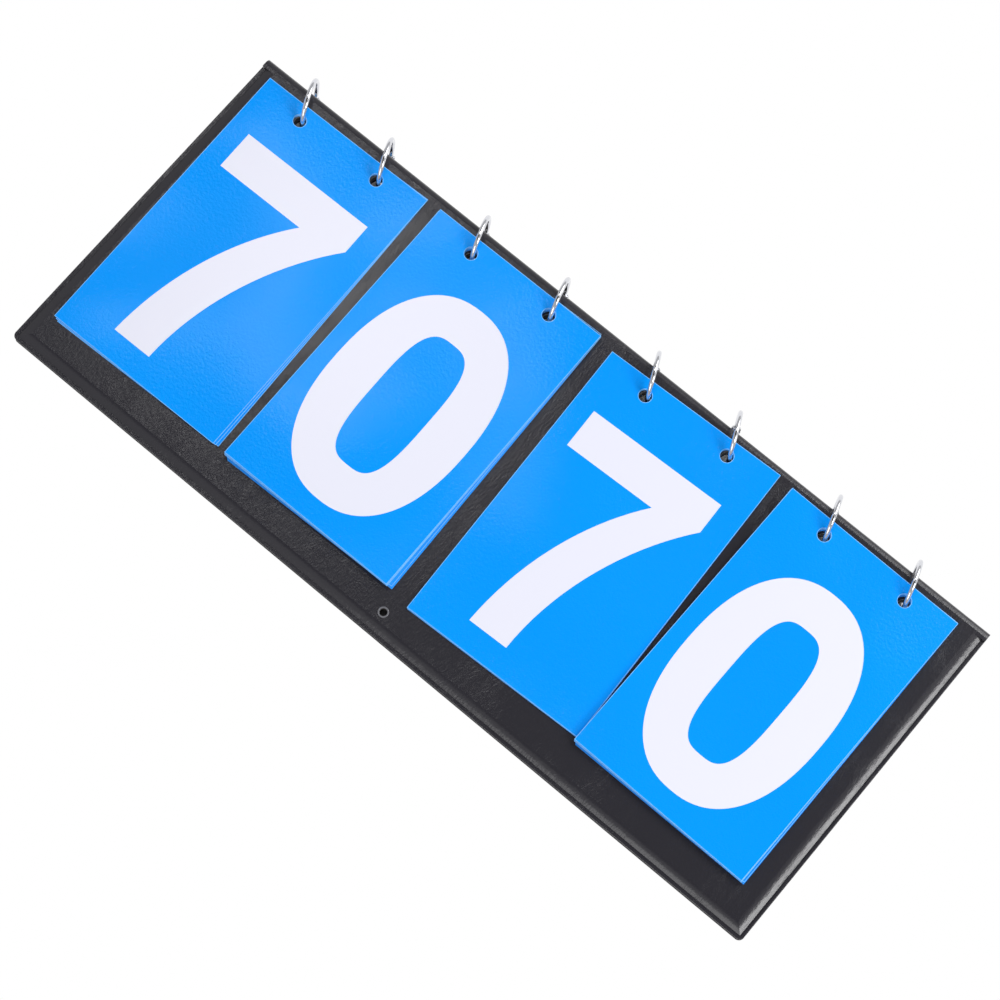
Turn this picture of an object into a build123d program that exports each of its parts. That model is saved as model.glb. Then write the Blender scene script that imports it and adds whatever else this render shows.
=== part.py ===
from build123d import *
from math import degrees, sqrt
import os

os.makedirs("parts", exist_ok=True)

# Tabletop flip scoreboard, folded flat with its front face up. Millimetres.
# X runs along the length, Y from the standing edge to the fold, Z out of the front face.
# Pieces are laid out from the middle of the front panel's standing edge, at half its thickness.
# They are written about the middle of the tie hole.

# --- Panels: a chipboard sealed between a leathercloth cover and a lining sheet ---
end_margin = 5.8
folded_height = 159.0
chipboard_thickness = 2.0
sheet_thickness = 0.4
rim_width = 1.75
rim_thickness = 0.9
rim_edge_radius = 0.3
weld_groove_width = 0.6
weld_groove_depth = 0.32
outer_corner_radius = 2.4
pad_slope_width = 4.2
chipboard_inset = 5.2
chipboard_slack = 0.3
panel_gap = 0.2
hinge_end_setback = 1.5

# --- Fold along the top edge ---
fold_wall = 0.8
fold_layer_clearance = 0.1
fold_cover_end_angle = -60.0
fold_lining_wall = 0.7
fold_lining_start_angle = 227.0
fold_lining_end_angle = 330.0

# --- Tie hole near the standing edge ---
tie_hole_diameter = 3.2
tie_hole_height = 9.9
tie_bead_width = 0.75
tie_bead_height = 0.3

# --- Book rings ---
ring_inner_diameter = 19.0
wire_diameter = 2.0
ring_spacing = 41.1
ring_yaw_angles = (23.0, 23.0, 19.0, 16.0, 23.0, 23.0, 19.0, 19.0)
panel_hole_diameter = 7.2
snap_angle = 125.0
snap_lap_length = 1.8
snap_clearance = 0.04
knuckle_radius = 1.6
knuckle_width = 3.2
tongue_width = 1.1
knuckle_clearance = 0.08
rivet_radius = 0.55
rivet_clearance = 0.05
rivet_head_radius = 1.05
rivet_head_thickness = 0.35

# --- Cards ---
card_width = 85.0
card_height = 135.0
card_thickness = 0.29
card_air_gap = 0.04
card_corner_radius = 0.25
card_hole_diameter = 5.6
card_hole_margin = 6.8
card_hole_shift = -1.45
pile_hang_slack = 1.0
cards_per_set = 10
loose_cards = 3
set_gap = 7.1
set_shift = -1.7
set_angles = (0.7, 0.35, 2.3, -0.8)
set_rises = (-0.3, -0.9, 0.8, -1.0)
set_digits = (7, 0, 7, 0)
splay_steps = (0.5, 0.12, 0.05, 0.07)

# --- Sizes that follow from those above ---
panel_thickness = chipboard_thickness + 2 * sheet_thickness
fold_radius = panel_thickness + panel_gap / 2
fold_y = folded_height - fold_radius
fold_z = -(panel_thickness + panel_gap) / 2
ring_radius = (ring_inner_diameter + wire_diameter) / 2
panel_hole_reach = (ring_radius + sqrt(ring_radius**2 - fold_radius**2)) / 2
card_pitch = card_thickness + card_air_gap
set_count = len(set_digits)
set_pitch = card_width + set_gap
panel_length = set_count * set_pitch + 2 * end_margin


def save(shape, name):
    """Write one named piece."""
    placed = Pos(0, -tie_hole_height, 0) * shape
    placed.label = name
    export_step(placed, f"parts/{name}.step")


def set_frame(index):
    """Frame of one card set: origin on its turning axis, X along that axis."""
    x = set_shift + (index - (set_count - 1) / 2) * set_pitch
    return Location((x, fold_y + set_rises[index], fold_z), (0, 0, set_angles[index]))


def ring_frame(index):
    """Frame of one book ring: origin at its centre, X along its axis."""
    side = -1 if index % 2 == 0 else 1
    pivot = Pos(side * ring_spacing / 2, -panel_hole_reach, 0)
    return set_frame(index // 2) * pivot * Rot(0, 0, ring_yaw_angles[index]) * Pos(0, panel_hole_reach, 0)


def ring_pivot(index):
    """Point on the folding plane where a ring passes through both panels."""
    return (ring_frame(index) * Pos(0, -panel_hole_reach, 0)).position


def panel_outline(length, height, radius):
    """Rectangle from the standing edge to the fold, round at the standing corners."""
    outline = Rectangle(length, height, align=(Align.CENTER, Align.MIN))
    corners = outline.vertices().sort_by(Axis.Y)[:2]
    return fillet(corners, radius) if radius > 0 else outline


def ring_hole_cutters():
    """Round cutters through both panels, one at each ring."""
    points = [ring_pivot(i) for i in range(2 * set_count)]
    cutter = Cylinder(panel_hole_diameter / 2, 4 * fold_radius)
    return [Pos(p.X, p.Y, fold_z) * cutter for p in points]


def tie_hole_cutter():
    """Round cutter through the front panel only."""
    return Pos(0, tie_hole_height, 0) * Cylinder(tie_hole_diameter / 2, 2 * panel_thickness)


def chipboard():
    """Stiff board inside one panel, before its holes."""
    depth = fold_y - hinge_end_setback - chipboard_inset - rim_width
    slab = panel_outline(panel_length - 2 * chipboard_inset, depth, 0)
    return Pos(0, chipboard_inset, 0) * extrude(slab, chipboard_thickness / 2, both=True)


def pad_profile(span, slopes):
    """Half section of the pad across one span: flat top and a rounded fall at each sloping end."""
    top = panel_thickness / 2
    edge = rim_thickness / 2 - weld_groove_depth
    fall = top - edge
    radius = (pad_slope_width**2 + fall**2) / (2 * fall)
    half_slope = pad_slope_width / 2
    drop = radius - sqrt(radius**2 - half_slope**2)
    middle = (half_slope, top - drop)
    left = [(0, 0), (0, edge)]
    curves = [Polyline(*left)]
    curves += [ThreePointArc((0, edge), middle, (pad_slope_width, top))]
    if slopes == 2:
        curves += [Line((pad_slope_width, top), (span - pad_slope_width, top))]
        far_middle = (span - half_slope, top - drop)
        curves += [ThreePointArc((span - pad_slope_width, top), far_middle, (span, edge))]
        curves += [Polyline((span, edge), (span, 0), (0, 0))]
    else:
        curves += [Polyline((pad_slope_width, top), (span, top), (span, 0), (0, 0))]
    return make_face(curves)


def pad():
    """Raised pad over the chipboard: its edges fall in a soft curve to the welded rim."""
    length = panel_length - 2 * rim_width
    height = fold_y - hinge_end_setback - rim_width
    across = extrude(Plane.XZ * pad_profile(length, 2), -height)
    along = extrude(Plane.YZ * pad_profile(height, 1), length)
    return Pos(-length / 2, rim_width, 0) * (across & along)


def weld_groove():
    """Shallow groove where the weld meets the pad, on the three free sides."""
    height = 2 * folded_height
    inset = rim_width - weld_groove_width
    outline = panel_outline(panel_length - 2 * inset, height, outer_corner_radius - inset)
    outer = Pos(0, inset, 0) * outline
    return Pos(0, 0, rim_thickness / 2 - weld_groove_depth) * extrude(outer, rim_thickness)


def sealed_sheet():
    """Upper sheet of one panel: flat welded rim and a raised pad over the chipboard."""
    reach = fold_y - hinge_end_setback
    rim = extrude(panel_outline(panel_length, reach, outer_corner_radius), rim_thickness / 2)
    free_edges = [e for e in rim.faces().sort_by(Axis.Z)[-1].edges() if e.center().Y < reach - 0.01]
    rim = fillet(free_edges, rim_edge_radius)
    pocket = offset_box(chipboard(), chipboard_slack)
    return rim - weld_groove() + pad() - pocket


def offset_box(slab, slack):
    """Box around a slab, larger on each side but not in thickness."""
    box = slab.bounding_box()
    size = box.size
    centre = box.center()
    return Pos(centre.X, centre.Y, centre.Z) * Box(size.X + 2 * slack, size.Y + 2 * slack, size.Z)


def tie_bead():
    """Raised bead pressed round the tie hole."""
    radius = tie_hole_diameter / 2 + tie_bead_width
    outer = Cylinder(radius, tie_bead_height, align=bottom_align())
    inner = Cylinder(tie_hole_diameter / 2, tie_bead_height, align=bottom_align())
    bead = outer - inner
    top_edges = bead.edges().group_by(Axis.Z)[-1]
    bead = fillet(top_edges, tie_bead_height * 0.8)
    return Pos(0, tie_hole_height, panel_thickness / 2) * bead


def bottom_align():
    return (Align.CENTER, Align.CENTER, Align.MIN)


def other_panel(shape):
    """The same piece on the rear panel: turned over about the folding plane."""
    return Pos(0, 0, 2 * fold_z) * mirror(shape, about=Plane.XY)


def cut_ring_holes(shape):
    result = shape
    for cutter in ring_hole_cutters():
        result = result - cutter
    return result


def fold_layer(inner_radius, wall, start_angle, end_angle):
    """Curved strip along the fold, between two angles measured from +Y towards +Z."""
    profile = Plane.XZ * Pos(0, inner_radius + wall / 2) * Rectangle(panel_length, wall)
    sweep_angle = end_angle - start_angle
    strip = revolve(profile, axis=Axis.X, revolution_arc=sweep_angle)
    return Pos(0, fold_y, fold_z) * Rot(start_angle - 90, 0, 0) * strip


def hinge_web():
    """Flat welded web of the sheets between a panel's end and the fold."""
    web = Box(panel_length, hinge_end_setback, fold_wall, align=(Align.CENTER, Align.MAX, Align.MAX))
    return Pos(0, fold_y, panel_thickness / 2) * web


def make_panels():
    """Both panels and the two layers of the fold."""
    cover = cut_ring_holes(sealed_sheet())
    lining = mirror(cover, about=Plane.XY)
    board = cut_ring_holes(chipboard())
    save(cover + tie_bead() - tie_hole_cutter(), "front_cover")
    save(board - tie_hole_cutter(), "front_chipboard")
    save(lining - tie_hole_cutter(), "front_lining")
    save(other_panel(cover), "rear_cover")
    save(other_panel(board), "rear_chipboard")
    save(other_panel(lining), "rear_lining")
    outer = fold_layer(fold_radius - fold_wall, fold_wall, fold_cover_end_angle, 90)
    save(outer + hinge_web(), "fold_cover")
    lining_radius = fold_radius - fold_wall - fold_layer_clearance - fold_lining_wall
    inner = fold_layer(lining_radius, fold_lining_wall, fold_lining_start_angle, fold_lining_end_angle)
    save(inner, "fold_lining")


def wire_arc(start_angle, end_angle):
    """Round wire bent about X, between two angles measured from +Y towards +Z."""
    profile = Pos(0, ring_radius) * Circle(wire_diameter / 2)
    arc = revolve(profile, axis=Axis.X, revolution_arc=end_angle - start_angle)
    return Rot(start_angle, 0, 0) * arc


def x_cylinder(radius, low, high):
    """Cylinder along X between two places."""
    return Pos((low + high) / 2, 0, 0) * Rot(0, 90, 0) * Cylinder(radius, high - low)


def ring_pieces():
    """One closed book ring in its own frame: fixed half, swinging half and rivet."""
    hinge_angle = snap_angle - 180
    lap_angle = degrees_of(snap_lap_length) / 2
    hinge = Rot(hinge_angle, 0, 0) * Pos(0, ring_radius, 0)
    half_width = knuckle_width / 2
    half_tongue = tongue_width / 2
    side = half_tongue + knuckle_clearance
    sweep_radius = knuckle_radius + knuckle_clearance
    lap_core = x_cylinder(ring_radius - snap_clearance / 2, -wire_diameter, wire_diameter)
    lap_sleeve = x_cylinder(ring_radius + snap_clearance / 2, -wire_diameter, wire_diameter)
    rivet_hole = hinge * x_cylinder(rivet_radius + rivet_clearance, -wire_diameter * 2, wire_diameter * 2)

    fixed = wire_arc(snap_angle + lap_angle, snap_angle + 180)
    fixed_lap = wire_arc(snap_angle - lap_angle, snap_angle + lap_angle) & lap_core
    cheeks = hinge * x_cylinder(knuckle_radius, -half_width, half_width)
    slot = hinge * x_cylinder(sweep_radius, -side, side)
    fixed = fixed + fixed_lap + cheeks - slot - rivet_hole

    swinging = wire_arc(hinge_angle, snap_angle - lap_angle - degrees_of(snap_clearance))
    start = snap_angle - lap_angle - degrees_of(snap_clearance)
    swinging_lap = wire_arc(start, snap_angle + lap_angle - degrees_of(snap_clearance)) - lap_sleeve
    shoulders = [hinge * x_cylinder(sweep_radius, half_tongue, wire_diameter)]
    shoulders += [hinge * x_cylinder(sweep_radius, -wire_diameter, -half_tongue)]
    tongue = hinge * x_cylinder(knuckle_radius, -half_tongue, half_tongue)
    swinging = swinging + swinging_lap - shoulders[0] - shoulders[1] + tongue - rivet_hole

    rivet = x_cylinder(rivet_radius, -half_width, half_width)
    for sign in (-1, 1):
        inner_face = sign * half_width
        outer_face = sign * (half_width + rivet_head_thickness)
        low, high = sorted((inner_face, outer_face))
        rivet = rivet + x_cylinder(rivet_head_radius, low, high)
    return fixed, swinging, hinge * rivet


def degrees_of(arc_length):
    """Angle that a short length along the ring's wire covers."""
    return degrees(arc_length / ring_radius)


def make_rings():
    fixed, swinging, rivet = ring_pieces()
    for index in range(2 * set_count):
        frame = ring_frame(index)
        save(frame * fixed, f"ring_{index + 1}_fixed_half")
        save(frame * swinging, f"ring_{index + 1}_swinging_half")
        save(frame * rivet, f"ring_{index + 1}_rivet")


def card_height_above(level):
    """Middle of a card above the folding plane; level counts up from the panel."""
    return fold_radius + card_air_gap + level * card_pitch + card_thickness / 2


def wire_reach(level):
    """How far below the fold a ring's wire passes through a card at this level."""
    return sqrt(ring_radius**2 - card_height_above(level)**2)


def card(level, splay, reach):
    """One card in its set's frame, its holes this far below the fold."""
    outline = RectangleRounded(card_width, card_height, card_corner_radius)
    plate = extrude(outline, card_thickness / 2, both=True)
    plate = Pos(0, card_hole_margin - card_height / 2, 0) * plate
    plate = Rot(0, 0, splay) * plate
    for side in (-1, 1):
        hole = Cylinder(card_hole_diameter / 2, 2 * card_thickness)
        plate = plate - Pos(side * ring_spacing / 2, 0, 0) * hole
    return Pos(card_hole_shift, -reach, card_height_above(level)) * plate


def make_card_set(index):
    """Cards of one set: those that show on the front and those turned over to the rear."""
    frame = set_frame(index)
    shown = set_digits[index]
    front = []
    front_count = cards_per_set - shown
    top_reach = wire_reach(front_count - 1)
    for order in range(front_count):
        level = front_count - 1 - order
        loose = order < loose_cards
        reach = wire_reach(level) if loose else max(top_reach, wire_reach(level) - pile_hang_slack)
        front.append(card(level, order * splay_steps[index], reach))
    for order in range(loose_cards):
        save(frame * front[order], f"set_{index + 1}_card_{shown + order}")
    pile = front[loose_cards:]
    if pile:
        save(Compound([frame * piece for piece in pile]), f"set_{index + 1}_pile")
    rear = [mirror(card(level, 0, wire_reach(level)), about=Plane.XY) for level in range(shown)]
    if rear:
        save(Compound([frame * piece for piece in rear]), f"set_{index + 1}_turned_cards")


make_panels()
make_rings()
for card_set in range(set_count):
    make_card_set(card_set)
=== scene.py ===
"""Tabletop flip scoreboard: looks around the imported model. Metres, in the model's own frame."""

import math

import bpy
from mathutils import Matrix, Vector


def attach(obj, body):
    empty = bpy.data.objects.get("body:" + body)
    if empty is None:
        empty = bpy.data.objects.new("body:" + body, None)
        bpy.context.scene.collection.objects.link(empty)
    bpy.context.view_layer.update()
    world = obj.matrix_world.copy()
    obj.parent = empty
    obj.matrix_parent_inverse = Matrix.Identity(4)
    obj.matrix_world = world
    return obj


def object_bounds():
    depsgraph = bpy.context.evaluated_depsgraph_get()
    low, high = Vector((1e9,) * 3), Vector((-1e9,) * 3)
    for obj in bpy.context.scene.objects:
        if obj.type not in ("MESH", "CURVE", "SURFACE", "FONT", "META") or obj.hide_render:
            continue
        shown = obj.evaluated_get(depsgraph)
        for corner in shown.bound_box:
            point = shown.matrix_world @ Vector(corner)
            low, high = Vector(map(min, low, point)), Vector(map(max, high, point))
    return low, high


MM = 0.001

# Printed numbers, about the middle of a card
PRINT_LIFT = 0.012 * MM
PRINT_THICKNESS = 0.015 * MM
CUT_EDGE_INSET = 0.04 * MM
CUT_EDGE_WIDTH = 0.18 * MM
ZERO_CENTRE = (-1.2 * MM, -7.0 * MM)
ZERO_OUTER = (33.6 * MM, 51.2 * MM)
ZERO_INNER = (13.4 * MM, 32.9 * MM)
ZERO_OUTER_SQUARENESS = 2.3
ZERO_INNER_SQUARENESS = 3.2
EIGHT_MIDDLE = -1.2 * MM
EIGHT_WAIST = -3.6 * MM
NINE_BOWL_CENTRE = (-1.2 * MM, 12.6 * MM)
NINE_TAIL_LEAVES = 12.4 * MM
LOBE_SQUARENESS = 2.2
EYE_SQUARENESS = 2.4
ROUND_STEPS = 96
CURVE_STEPS = 18
# Which number each set shows, and how many cards of it turn one by one
SETS = (("set_1", 7), ("set_2", 0), ("set_3", 7), ("set_4", 0))
LOOSE_CARDS = 3
CARD_SIZE = (85.0 * MM, 135.0 * MM)
CARD_HOLE_X = 20.55 * MM
CARD_HOLE_Y = 60.7 * MM
CARD_HOLE_RADIUS = 2.8 * MM

# Camera: where it stands, what it looks at, and which way is up in the frame
CAMERA_PLACE = Vector((0.1874, -0.1786, 1.1439))
CAMERA_VIEW = Vector((-0.15365, 0.20616, -0.96638))
CAMERA_UP = Vector((-0.62417, 0.73792, 0.25666))
CAMERA_LENS = 106.24
SENSOR_WIDTH = 36.0

# Shadow on the floor: how far round it looks, the open shares of sky at which it is darkest and gone,
# and how light its darkest part stays
SHADE_REACH = 60.0 * MM
SHADE_DARKEST = 0.12
SHADE_LIGHTEST = 0.36
SHADE_FLOOR = 0.004

# Colours of the finishes
CARD_BLUE = "0098FF"
CARD_CORE = "86C8FF"
PRINT_WHITE = "E8E9F7"
LEATHERCLOTH_BLACK = "2B2A30"
LINING_BLACK = "2C2B2E"
CHIPBOARD_GREY = "45423F"
NICKEL = "DEDFE4"
FLOOR_WHITE = "FFFFFF"
UNDER_BOARD_DARK = "0C0C0D"
# Painted highlight on the bead round the tie hole
BEAD_HIGHLIGHT_GREY = "6A6A70"

# Pattern sizes. The grain and the film are coarser than the real ones, which are too fine to show
# Reach of the painted highlight round the tie hole
BEAD_HIGHLIGHT_RADIUS = 2.3 * MM
LEATHER_GRAIN_PITCH = 0.8 * MM
LEATHER_GRAIN_DEPTH = 0.12 * MM
CREASE_PITCH = 5.0 * MM
CREASE_DEPTH = 0.7 * MM
CREASE_TURN = 0.15
PATCH_SIZE = 30.0 * MM
FILM_PITCH = 1.0 * MM
FILM_DEPTH = 0.09 * MM
CARD_BEND_SIZE = 70.0 * MM
CARD_BEND_DEPTH = 6.0 * MM
CARD_ROUGHNESS = 0.18
NUMBER_ROUGHNESS = 0.2
GLOSS_FILM_LEVEL = 0.2

# Studio
FLOOR_SIZE = 6.0
FLOOR_GAP = 0.2 * MM
SKY_STRENGTH = 0.5


def linear(hex_colour):
    """An sRGB hex colour as linear RGBA."""
    channels = [int(hex_colour[i:i + 2], 16) / 255 for i in (0, 2, 4)]
    curve = [c / 12.92 if c <= 0.04045 else ((c + 0.055) / 1.055) ** 2.4 for c in channels]
    return (*curve, 1.0)


def add_node(tree, kind, inputs=None, links=None, **settings):
    """Add a node, set its fields and sockets, and link others' outputs into it."""
    node = tree.nodes.new(kind)
    for name, value in settings.items():
        setattr(node, name, value)
    for name, value in (inputs or {}).items():
        node.inputs[name].default_value = value
    for name, socket in (links or {}).items():
        tree.links.new(socket, node.inputs[name])
    return node


def new_material(name, colour, roughness, metallic=0.0, ior=1.5, **extra):
    """A plain shader, its tree and its shader node."""
    material = bpy.data.materials.new(name)
    material.use_nodes = True
    shader = material.node_tree.nodes["Principled BSDF"]
    values = {"Base Color": linear(colour), "Roughness": roughness, "Metallic": metallic, "IOR": ior}
    for socket, value in {**values, **extra}.items():
        shader.inputs[socket].default_value = value
    return material, material.node_tree, shader


# --- Materials ---

def coated_card():
    """Coated card, printed blue and glossed: an even strong colour, pale where the cut edge shows."""
    material, tree, shader = new_material("glossed_blue_card", CARD_BLUE, CARD_ROUGHNESS)
    shader.inputs["Specular IOR Level"].default_value = GLOSS_FILM_LEVEL
    place = add_node(tree, "ShaderNodeTexCoord")
    # A cut edge faces sideways; the printed faces look straight up or down
    facing = add_node(tree, "ShaderNodeSeparateXYZ", links={"Vector": place.outputs["Normal"]})
    upright = add_node(tree, "ShaderNodeMath", links={0: facing.outputs["Z"]}, operation="ABSOLUTE")
    printed = add_node(tree, "ShaderNodeMath", {1: 0.5}, {0: upright.outputs["Value"]},
                       operation="GREATER_THAN")
    colour = add_node(tree, "ShaderNodeMix", links={"Factor": printed.outputs["Value"]}, data_type="RGBA")
    colour.inputs["A"].default_value = linear(CARD_CORE)
    colour.inputs["B"].default_value = linear(CARD_BLUE)
    tree.links.new(colour.outputs["Result"], shader.inputs["Base Color"])
    # The card bends a little, so that a lamp shines back from part of it only
    bend = add_node(tree, "ShaderNodeTexNoise", {"Scale": 1 / CARD_BEND_SIZE, "Detail": 0.0},
                    {"Vector": place.outputs["Object"]})
    bent = add_node(tree, "ShaderNodeBump", {"Strength": 1.0, "Distance": CARD_BEND_DEPTH},
                    {"Height": bend.outputs["Fac"]})
    # Orange peel of the gloss film
    film = add_node(tree, "ShaderNodeTexNoise", {"Scale": 1 / FILM_PITCH, "Detail": 2.0},
                    {"Vector": place.outputs["Object"]})
    bump = add_node(tree, "ShaderNodeBump", {"Strength": 1.0, "Distance": FILM_DEPTH},
                    {"Height": film.outputs["Fac"], "Normal": bent.outputs["Normal"]})
    tree.links.new(bump.outputs["Normal"], shader.inputs["Normal"])
    return material


def printed_white():
    """Unprinted white board under the same gloss film."""
    material, _, shader = new_material("glossed_white_number", PRINT_WHITE, NUMBER_ROUGHNESS)
    shader.inputs["Specular IOR Level"].default_value = GLOSS_FILM_LEVEL
    return material


def leathercloth():
    """Calendered PVC leathercloth: near black, fine pressed grain and a few long creases, with a painted
    highlight on the bead round the tie hole.
    """
    material, tree, shader = grained_pvc("black_pvc_leathercloth", LEATHERCLOTH_BLACK, 0.23)
    # The bead pressed round the tie hole, which is at the origin, gets a painted highlight: a lighter grey
    # colour within its radius
    place = add_node(tree, "ShaderNodeTexCoord")
    flat = add_node(tree, "ShaderNodeVectorMath", {1: (1.0, 1.0, 0.0)}, {0: place.outputs["Object"]},
                    operation="MULTIPLY")
    reach = add_node(tree, "ShaderNodeVectorMath", links={0: flat.outputs["Vector"]}, operation="LENGTH")
    painted_bead_highlight = add_node(tree, "ShaderNodeMath", {1: BEAD_HIGHLIGHT_RADIUS}, {0: reach.outputs["Value"]},
                      operation="LESS_THAN")
    colour = add_node(tree, "ShaderNodeMix", links={"Factor": painted_bead_highlight.outputs["Value"]}, data_type="RGBA")
    colour.inputs["A"].default_value = linear(LEATHERCLOTH_BLACK)
    colour.inputs["B"].default_value = linear(BEAD_HIGHLIGHT_GREY)
    tree.links.new(colour.outputs["Result"], shader.inputs["Base Color"])
    return material


def lining():
    """The same PVC sheet on the inside, a little duller."""
    return grained_pvc("black_pvc_lining", LINING_BLACK, 0.5)[0]


def grained_pvc(name, colour, roughness):
    """Pressed PVC sheet: a fine grain everywhere and creases in places."""
    material, tree, shader = new_material(name, colour, roughness, ior=1.52)
    place = add_node(tree, "ShaderNodeTexCoord")
    # Pressed grain, longer across the board than along it
    drawn = add_node(tree, "ShaderNodeMapping", {"Scale": (1.0, 0.4, 1.0)},
                     {"Vector": place.outputs["Object"]})
    grain = add_node(tree, "ShaderNodeTexNoise", {"Scale": 1 / LEATHER_GRAIN_PITCH, "Detail": 2.0},
                     {"Vector": drawn.outputs["Vector"]})
    # Creases from folding the sheet over the board: short, and only in patches
    stretch = add_node(tree, "ShaderNodeMapping",
                       {"Scale": (1.6, 0.5, 1.0), "Rotation": (0.0, 0.0, CREASE_TURN)},
                       {"Vector": place.outputs["Object"]})
    creases = add_node(tree, "ShaderNodeTexNoise",
                       {"Scale": 1 / CREASE_PITCH, "Detail": 5.0, "Roughness": 0.6, "Distortion": 0.8},
                       {"Vector": stretch.outputs["Vector"]})
    ridges = add_node(tree, "ShaderNodeMath", {1: 0.1}, {0: creases.outputs["Fac"]}, operation="PINGPONG")
    patches = add_node(tree, "ShaderNodeTexNoise", {"Scale": 1 / PATCH_SIZE, "Detail": 1.0},
                       {"Vector": place.outputs["Object"]})
    mask = add_node(tree, "ShaderNodeMapRange", {"From Min": 0.42, "From Max": 0.6},
                    {"Value": patches.outputs["Fac"]})
    raised = add_node(tree, "ShaderNodeMath", links={0: ridges.outputs["Value"], 1: mask.outputs["Result"]},
                      operation="MULTIPLY")
    fine = add_node(tree, "ShaderNodeBump", {"Strength": 0.5, "Distance": LEATHER_GRAIN_DEPTH},
                    {"Height": grain.outputs["Fac"]})
    coarse = add_node(tree, "ShaderNodeBump", {"Strength": 0.5, "Distance": CREASE_DEPTH},
                      {"Height": raised.outputs["Value"], "Normal": fine.outputs["Normal"]})
    tree.links.new(coarse.outputs["Normal"], shader.inputs["Normal"])
    return material, tree, shader


def chipboard():
    """Grey-brown recycled board, matt."""
    return new_material("grey_chipboard", CHIPBOARD_GREY, 0.9)[0]


def polished_nickel():
    """Nickel plated steel wire, polished: clean mirror highlights."""
    return new_material("polished_nickel_plate", NICKEL, 0.13, metallic=1.0)[0]


def set_material(obj, material):
    """Give every slot of an object one material."""
    if not obj.material_slots:
        obj.data.materials.append(material)
    for slot in obj.material_slots:
        slot.material = material


def dress_nodes(nodes):
    """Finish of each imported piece, by its name."""
    card, cloth, inner = coated_card(), leathercloth(), lining()
    board, metal = chipboard(), polished_nickel()
    for name, obj in nodes.items():
        if name.startswith("ring_"):
            set_material(obj, metal)
        elif name.startswith("set_"):
            set_material(obj, card)
        elif name.endswith("_chipboard"):
            set_material(obj, board)
        elif name.endswith("_lining"):
            set_material(obj, inner)
        else:
            set_material(obj, cloth)


# --- Number outlines: each is a list of closed loops, the first solid and the rest open ---

def superellipse(centre, half_size, squareness, steps=ROUND_STEPS):
    """Rounded loop between an ellipse and a rectangle."""
    points = []
    for step in range(steps):
        turn = 2 * math.pi * step / steps
        c, s = math.cos(turn), math.sin(turn)
        x = math.copysign(abs(c) ** (2 / squareness), c) * half_size[0]
        y = math.copysign(abs(s) ** (2 / squareness), s) * half_size[1]
        points.append((centre[0] + x, centre[1] + y))
    return points


def bezier(start, handle_a, handle_b, end, steps=CURVE_STEPS):
    """Points along a cubic curve, its start left out."""
    points = []
    for step in range(1, steps + 1):
        t = step / steps
        weights = ((1 - t) ** 3, 3 * t * (1 - t) ** 2, 3 * t * t * (1 - t), t ** 3)
        sources = (start, handle_a, handle_b, end)
        points.append(tuple(sum(w * p[axis] for w, p in zip(weights, sources)) for axis in (0, 1)))
    return points


def outline(start, *steps):
    """Closed loop from steps in mm: one point is a straight line, three are a curve's handles and end."""
    points = [start]
    for step in steps:
        curved = len(step) == 3
        points += bezier(points[-1], *step) if curved else [step]
    if points[-1] == start:
        points.pop()
    return [(x * MM, y * MM) for x, y in points]


def number_zero():
    outer = superellipse(ZERO_CENTRE, ZERO_OUTER, ZERO_OUTER_SQUARENESS)
    inner = superellipse(ZERO_CENTRE, ZERO_INNER, ZERO_INNER_SQUARENESS)
    return [outer, inner]


def number_one():
    return [outline((-3.0, -56.3), (15.4, -56.3), (15.4, 43.0), (1.0, 43.0),
                    ((-4.0, 33.0), (-12.0, 27.0), (-23.0, 22.6)), (-23.0, 6.4),
                    ((-15.0, 8.6), (-8.0, 12.0), (-3.0, 16.4)))]


def number_two():
    return [outline((-34.0, -56.3), (33.0, -56.3), (33.0, -39.0), (-6.0, -39.0),
                    ((4.0, -24.0), (33.0, -15.0), (33.0, 14.0)), ((33.0, 31.0), (19.0, 43.6), (-0.5, 43.6)),
                    ((-19.0, 43.6), (-32.0, 33.0), (-33.0, 14.0)), (-14.6, 12.4),
                    ((-14.0, 21.0), (-9.0, 27.4), (-1.0, 27.4)), ((8.0, 27.4), (13.8, 21.6), (13.8, 13.0)),
                    ((13.8, -8.0), (-32.0, -22.0), (-34.0, -56.3)))]


def number_three():
    return [outline((-31.0, 16.0), ((-29.0, 33.0), (-17.0, 43.6), (-1.5, 43.6)),
                    ((16.0, 43.6), (29.5, 33.0), (29.5, 17.5)), ((29.5, 6.0), (24.0, -1.5), (15.0, -4.5)),
                    ((26.0, -7.5), (33.0, -16.5), (33.0, -28.5)),
                    ((33.0, -46.0), (18.0, -58.0), (-1.5, -58.0)),
                    ((-20.0, -58.0), (-32.5, -47.0), (-33.5, -29.5)), (-15.5, -27.5),
                    ((-14.5, -36.5), (-9.5, -42.0), (-1.5, -42.0)),
                    ((8.0, -42.0), (14.5, -36.5), (14.5, -28.0)),
                    ((14.5, -18.0), (7.0, -12.6), (-5.0, -12.6)), (-8.5, -12.6), (-8.5, 3.2), (-5.0, 3.2),
                    ((5.0, 3.2), (11.5, 8.0), (11.5, 16.0)), ((11.5, 23.5), (6.5, 28.0), (-1.5, 28.0)),
                    ((-8.5, 28.0), (-12.8, 23.0), (-13.5, 13.0)))]


def number_seven():
    return [outline((-33.0, 24.8), (-33.0, 42.8), (31.0, 42.8), (31.0, 28.6),
                    ((12.5, 7.0), (-1.2, -25.0), (-1.4, -56.3)), (-19.8, -56.3),
                    ((-18.6, -24.0), (-7.0, 4.5), (9.6, 24.8)))]


def join_lobes(upper, lower, waist):
    """One loop from the parts of two lobes above and below a waist line."""
    joined = []
    for part in ([p for p in upper if p[1] > waist], [p for p in lower if p[1] < waist]):
        joined += sorted(part, key=lambda p: math.atan2(p[1] - waist, p[0]))
    return joined


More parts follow.
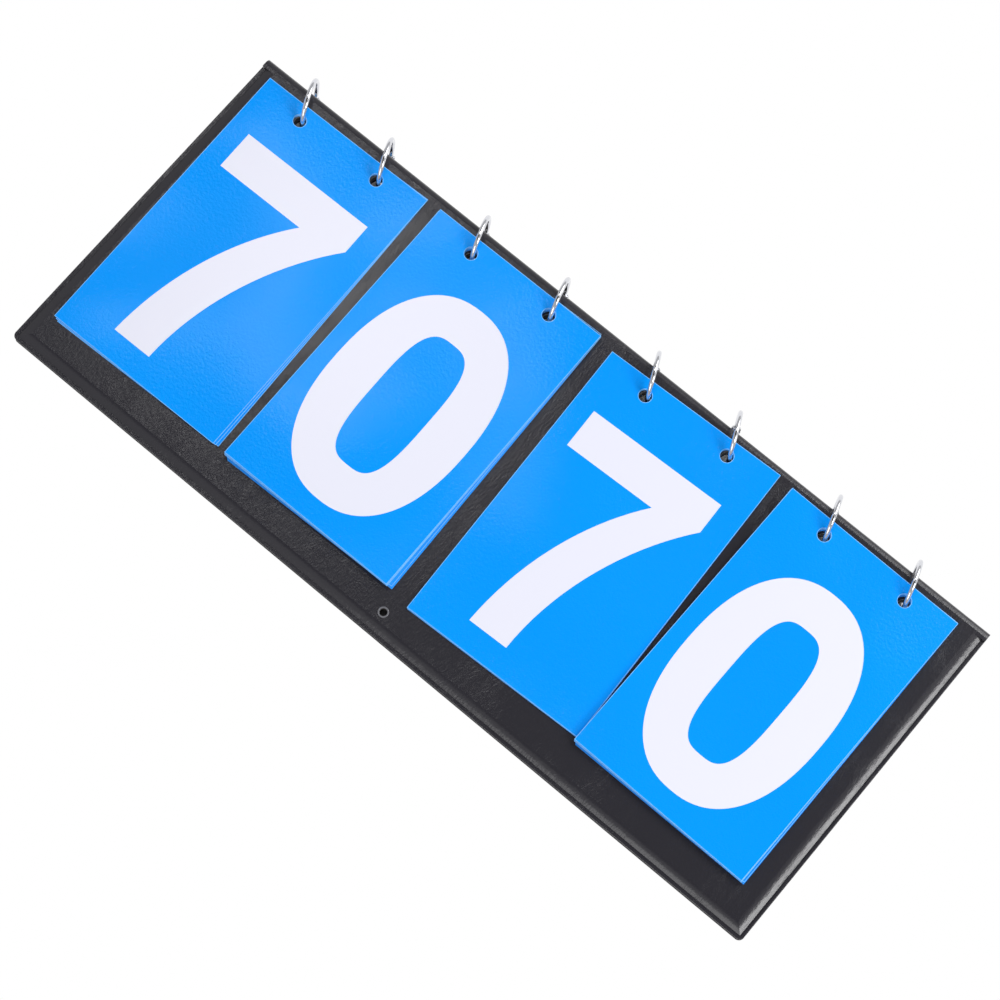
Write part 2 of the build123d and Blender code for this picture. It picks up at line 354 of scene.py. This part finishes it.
def number_eight():
    upper = superellipse((EIGHT_MIDDLE, 18.0 * MM), (30.0 * MM, 26.0 * MM), LOBE_SQUARENESS)
    lower = superellipse((EIGHT_MIDDLE, -28.6 * MM), (33.6 * MM, 29.6 * MM), LOBE_SQUARENESS)
    upper_eye = superellipse((EIGHT_MIDDLE, 18.6 * MM), (12.4 * MM, 11.4 * MM), EYE_SQUARENESS)
    lower_eye = superellipse((EIGHT_MIDDLE, -27.6 * MM), (15.0 * MM, 14.4 * MM), EYE_SQUARENESS)
    return [join_lobes(upper, lower, EIGHT_WAIST), upper_eye, lower_eye]


def number_nine():
    bowl = superellipse(NINE_BOWL_CENTRE, (32.4 * MM, 31.0 * MM), LOBE_SQUARENESS)
    eye = superellipse((NINE_BOWL_CENTRE[0], 13.6 * MM), (13.8 * MM, 15.4 * MM), EYE_SQUARENESS)
    # The bowl runs from its right side over the top to where the tail leaves it below
    kept = [p for p in bowl if p[1] >= NINE_BOWL_CENTRE[1] or p[0] < NINE_TAIL_LEAVES]
    tail = outline((12.4, -16.3), ((10.5, -31.0), (5.0, -42.4), (-4.6, -42.4)),
                   ((-10.0, -42.4), (-13.0, -38.6), (-14.0, -32.6)), (-31.6, -34.0),
                   ((-30.0, -49.0), (-20.0, -58.0), (-4.0, -58.0)),
                   ((22.0, -58.0), (31.2, -32.0), (31.2, 8.0)))
    return [kept + tail, eye]


NUMBERS = {0: number_zero, 1: number_one, 2: number_two, 3: number_three,
           7: number_seven, 8: number_eight, 9: number_nine}


def print_mesh(name, loops):
    """Flat print of one number as a thin closed mesh on XY."""
    curve = bpy.data.curves.new(name, "CURVE")
    curve.dimensions = "2D"
    curve.fill_mode = "BOTH"
    curve.extrude = PRINT_THICKNESS / 2
    for loop in loops:
        spline = curve.splines.new("POLY")
        spline.points.add(len(loop) - 1)
        for point, (x, y) in zip(spline.points, loop):
            point.co = (x, y, 0.0, 1.0)
        spline.use_cyclic_u = True
    holder = bpy.data.objects.new(name, curve)
    bpy.context.scene.collection.objects.link(holder)
    bpy.context.view_layer.update()
    mesh = bpy.data.meshes.new_from_object(holder.evaluated_get(bpy.context.evaluated_depsgraph_get()))
    bpy.data.objects.remove(holder)
    piece = bpy.data.objects.new(name, mesh)
    bpy.context.scene.collection.objects.link(piece)
    return piece


def card_faces(node):
    """Frames of a card's front and back faces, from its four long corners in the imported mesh."""
    corners = [node.matrix_world @ v.co for v in node.data.vertices]
    low = min(c.z for c in corners)
    high = max(c.z for c in corners)
    right = max(corners, key=lambda c: c.x - c.y)
    left = min(corners, key=lambda c: c.x - c.y)
    far = max(corners, key=lambda c: c.x + c.y)
    near = min(corners, key=lambda c: c.x + c.y)
    middle = (right + left + far + near) / 4
    along = (far - right).normalized()
    angle = math.atan2(-along.x, along.y)
    front = Matrix.Translation((middle.x, middle.y, high + PRINT_LIFT)) @ Matrix.Rotation(angle, 4, "Z")
    # Seen from the rear the number stands upright too, its top towards the rings
    turned = Matrix.Rotation(angle, 4, "Z") @ Matrix.Rotation(math.pi, 4, "Y")
    back = Matrix.Translation((middle.x, middle.y, low - PRINT_LIFT)) @ turned
    return front, back


def cut_edge(with_holes=True):
    """Pale line round a face and its holes, where the knife took the print off the corner."""
    half = [size / 2 for size in CARD_SIZE]
    loops = []
    for inset in (CUT_EDGE_INSET, CUT_EDGE_INSET + CUT_EDGE_WIDTH):
        x, y = half[0] - inset, half[1] - inset
        loops.append([(-x, -y), (x, -y), (x, y), (-x, y)])
    for side in (-1, 1) if with_holes else ():
        for inset in (CUT_EDGE_WIDTH, 0.0):
            radius = CARD_HOLE_RADIUS + CUT_EDGE_INSET + inset
            loops.append(superellipse((side * CARD_HOLE_X, CARD_HOLE_Y), (radius, radius), 2.0))
    return loops


def place_print(name, loops, transform, body, material):
    """Put a flat print on a face, on the body that carries it."""
    piece = print_mesh(name, loops)
    piece.data.transform(transform)
    piece.data.update()
    set_material(piece, material)
    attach(piece, body)


def place_face(name, digit, face, body, white, pale, with_holes=True):
    """Number and cut edge of one face of a card."""
    place_print(f"{name}_number", NUMBERS[digit](), face, body, white)
    place_print(f"{name}_cut_edge", cut_edge(with_holes), face, body, pale)


def print_numbers(nodes):
    """Numbers on both faces of the loose cards, on the pile under them and on the rear of the turned ones."""
    white = printed_white()
    pale = new_material("pale_cut_edge", CARD_CORE, 0.5)[0]
    for name, shown in SETS:
        for order in range(LOOSE_CARDS):
            digit = shown + order
            card = f"{name}_card_{digit}"
            front, back = card_faces(nodes[card])
            place_face(f"{card}_front", digit, front, card, white, pale)
            place_face(f"{card}_back", (digit + 1) % 10, back, card, white, pale)
        if f"{name}_pile" in nodes:
            # The rings lean on the edges of the pile's holes, so these stay as they are
            front = card_faces(nodes[f"{name}_pile"])[0]
            place_face(f"{name}_pile_front", shown + LOOSE_CARDS, front, "front_panel", white, pale,
                       with_holes=False)
        if f"{name}_turned_cards" in nodes:
            back = card_faces(nodes[f"{name}_turned_cards"])[1]
            place_face(f"{name}_turned_back", shown, back, "rear_panel", white, pale)


# --- Studio ---

def make_floor(low):
    """White sweep that the board lies on: plain white, and dark where the board shuts the light out."""
    bpy.ops.mesh.primitive_plane_add(size=FLOOR_SIZE, location=(0.0, 0.0, low - FLOOR_GAP))
    floor = bpy.context.active_object
    floor.name = "studio_floor"
    material = bpy.data.materials.new("white_studio_floor")
    material.use_nodes = True
    tree = material.node_tree
    tree.nodes.clear()
    ray = add_node(tree, "ShaderNodeLightPath")
    plain = add_node(tree, "ShaderNodeBsdfDiffuse", {"Color": linear(FLOOR_WHITE)})
    sky = add_node(tree, "ShaderNodeAmbientOcclusion", {"Distance": SHADE_REACH}, samples=16)
    light = add_node(tree, "ShaderNodeMapRange", {"From Min": SHADE_DARKEST, "From Max": SHADE_LIGHTEST,
                                                  "To Min": SHADE_FLOOR, "To Max": 1.0},
                     {"Value": sky.outputs["AO"]}, interpolation_type="SMOOTHSTEP")
    glow = add_node(tree, "ShaderNodeEmission", {"Color": linear(FLOOR_WHITE)},
                    {"Strength": light.outputs["Result"]})
    seen = add_node(tree, "ShaderNodeMath",
                    links={0: ray.outputs["Is Camera Ray"], 1: ray.outputs["Is Glossy Ray"]},
                    operation="MAXIMUM")
    mix = add_node(tree, "ShaderNodeMixShader",
                   links={0: seen.outputs["Value"], 1: plain.outputs["BSDF"], 2: glow.outputs["Emission"]})
    add_node(tree, "ShaderNodeOutputMaterial", links={"Surface": mix.outputs["Shader"]})
    floor.data.materials.append(material)


def add_reflector(name, place, aim, size, brightness):
    """Card seen only in reflections: black at brightness 0, a glowing white one above that."""
    bpy.ops.mesh.primitive_plane_add(size=size, location=place)
    card = bpy.context.active_object
    card.name = name
    card.rotation_euler = (Vector(aim) - Vector(place)).to_track_quat("Z", "Y").to_euler()
    for kind in ("camera", "diffuse", "transmission", "shadow"):
        setattr(card, f"visible_{kind}", False)
    material, _, shader = new_material(f"{name}_face", UNDER_BOARD_DARK, 0.9)
    shader.inputs["Emission Color"].default_value = linear(FLOOR_WHITE)
    shader.inputs["Emission Strength"].default_value = brightness
    set_material(card, material)


def make_reflectors():
    add_reflector("dark_flag", (-0.25, 0.45, 1.9), (-0.25, 0.45, 0.0), 1.8, 0.0)
    add_reflector("rear_reflector", (0.5, 1.15, 0.7), (0.1, 0.15, 0.0), 1.0, 3.0)


def make_world():
    world = bpy.data.worlds.new("studio")
    bpy.context.scene.world = world
    world.use_nodes = True
    tree = world.node_tree
    tree.nodes.clear()
    ray = add_node(tree, "ShaderNodeLightPath")
    # The camera sees plain white; the board gets the sky's own strength
    seen = add_node(tree, "ShaderNodeMath", {1: 1.0 - SKY_STRENGTH}, {0: ray.outputs["Is Camera Ray"]},
                    operation="MULTIPLY")
    level = add_node(tree, "ShaderNodeMath", {1: SKY_STRENGTH}, {0: seen.outputs["Value"]}, operation="ADD")
    sky = add_node(tree, "ShaderNodeBackground", {"Color": linear(FLOOR_WHITE)},
                   {"Strength": level.outputs["Value"]})
    add_node(tree, "ShaderNodeOutputWorld", links={"Surface": sky.outputs["Background"]})


def add_lamp(name, place, aim, size, power):
    """Soft box that points at a place on the board."""
    data = bpy.data.lights.new(name, "AREA")
    data.size = size
    data.energy = power
    lamp = bpy.data.objects.new(name, data)
    lamp.location = place
    lamp.rotation_euler = (Vector(aim) - Vector(place)).to_track_quat("-Z", "Y").to_euler()
    bpy.context.scene.collection.objects.link(lamp)


def make_lamps():
    add_lamp("right_softbox", (1.25, 0.33, 0.86), (0.0, 0.05, 0.0), 0.5, 8.0)
    add_lamp("rear_softbox", (0.38, 0.95, 1.1), (0.0, 0.05, 0.0), 0.5, 6.5)
    add_lamp("front_fill", (0.3, -0.95, 0.75), (0.0, 0.05, 0.0), 0.7, 3.8)
    add_lamp("left_card_sheen", (-0.41, 0.36, 1.15), (-0.14, 0.06, 0.0), 0.22, 0.8)


def make_camera():
    data = bpy.data.cameras.new("camera")
    data.lens = CAMERA_LENS
    data.sensor_width = SENSOR_WIDTH
    data.clip_end = 20.0
    camera = bpy.data.objects.new("camera", data)
    back = -CAMERA_VIEW.normalized()
    right = CAMERA_UP.cross(back).normalized()
    up = back.cross(right)
    turn = Matrix((right, up, back)).transposed().to_4x4()
    camera.matrix_world = Matrix.Translation(CAMERA_PLACE) @ turn
    bpy.context.scene.collection.objects.link(camera)
    bpy.context.scene.camera = camera


def plain_bounds():
    return [list(corner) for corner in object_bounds()]


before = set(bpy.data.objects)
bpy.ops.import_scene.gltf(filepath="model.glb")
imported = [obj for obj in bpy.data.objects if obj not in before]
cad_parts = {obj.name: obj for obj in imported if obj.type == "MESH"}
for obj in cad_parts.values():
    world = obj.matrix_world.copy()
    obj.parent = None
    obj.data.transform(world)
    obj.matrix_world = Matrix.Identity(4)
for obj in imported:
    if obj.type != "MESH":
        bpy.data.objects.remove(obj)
cad_box = plain_bounds()
dress_nodes(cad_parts)
print_numbers(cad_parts)
make_floor(cad_box[0][2])
make_reflectors()
make_world()
make_lamps()
make_camera()
bpy.context.scene.view_settings.view_transform = "Standard"
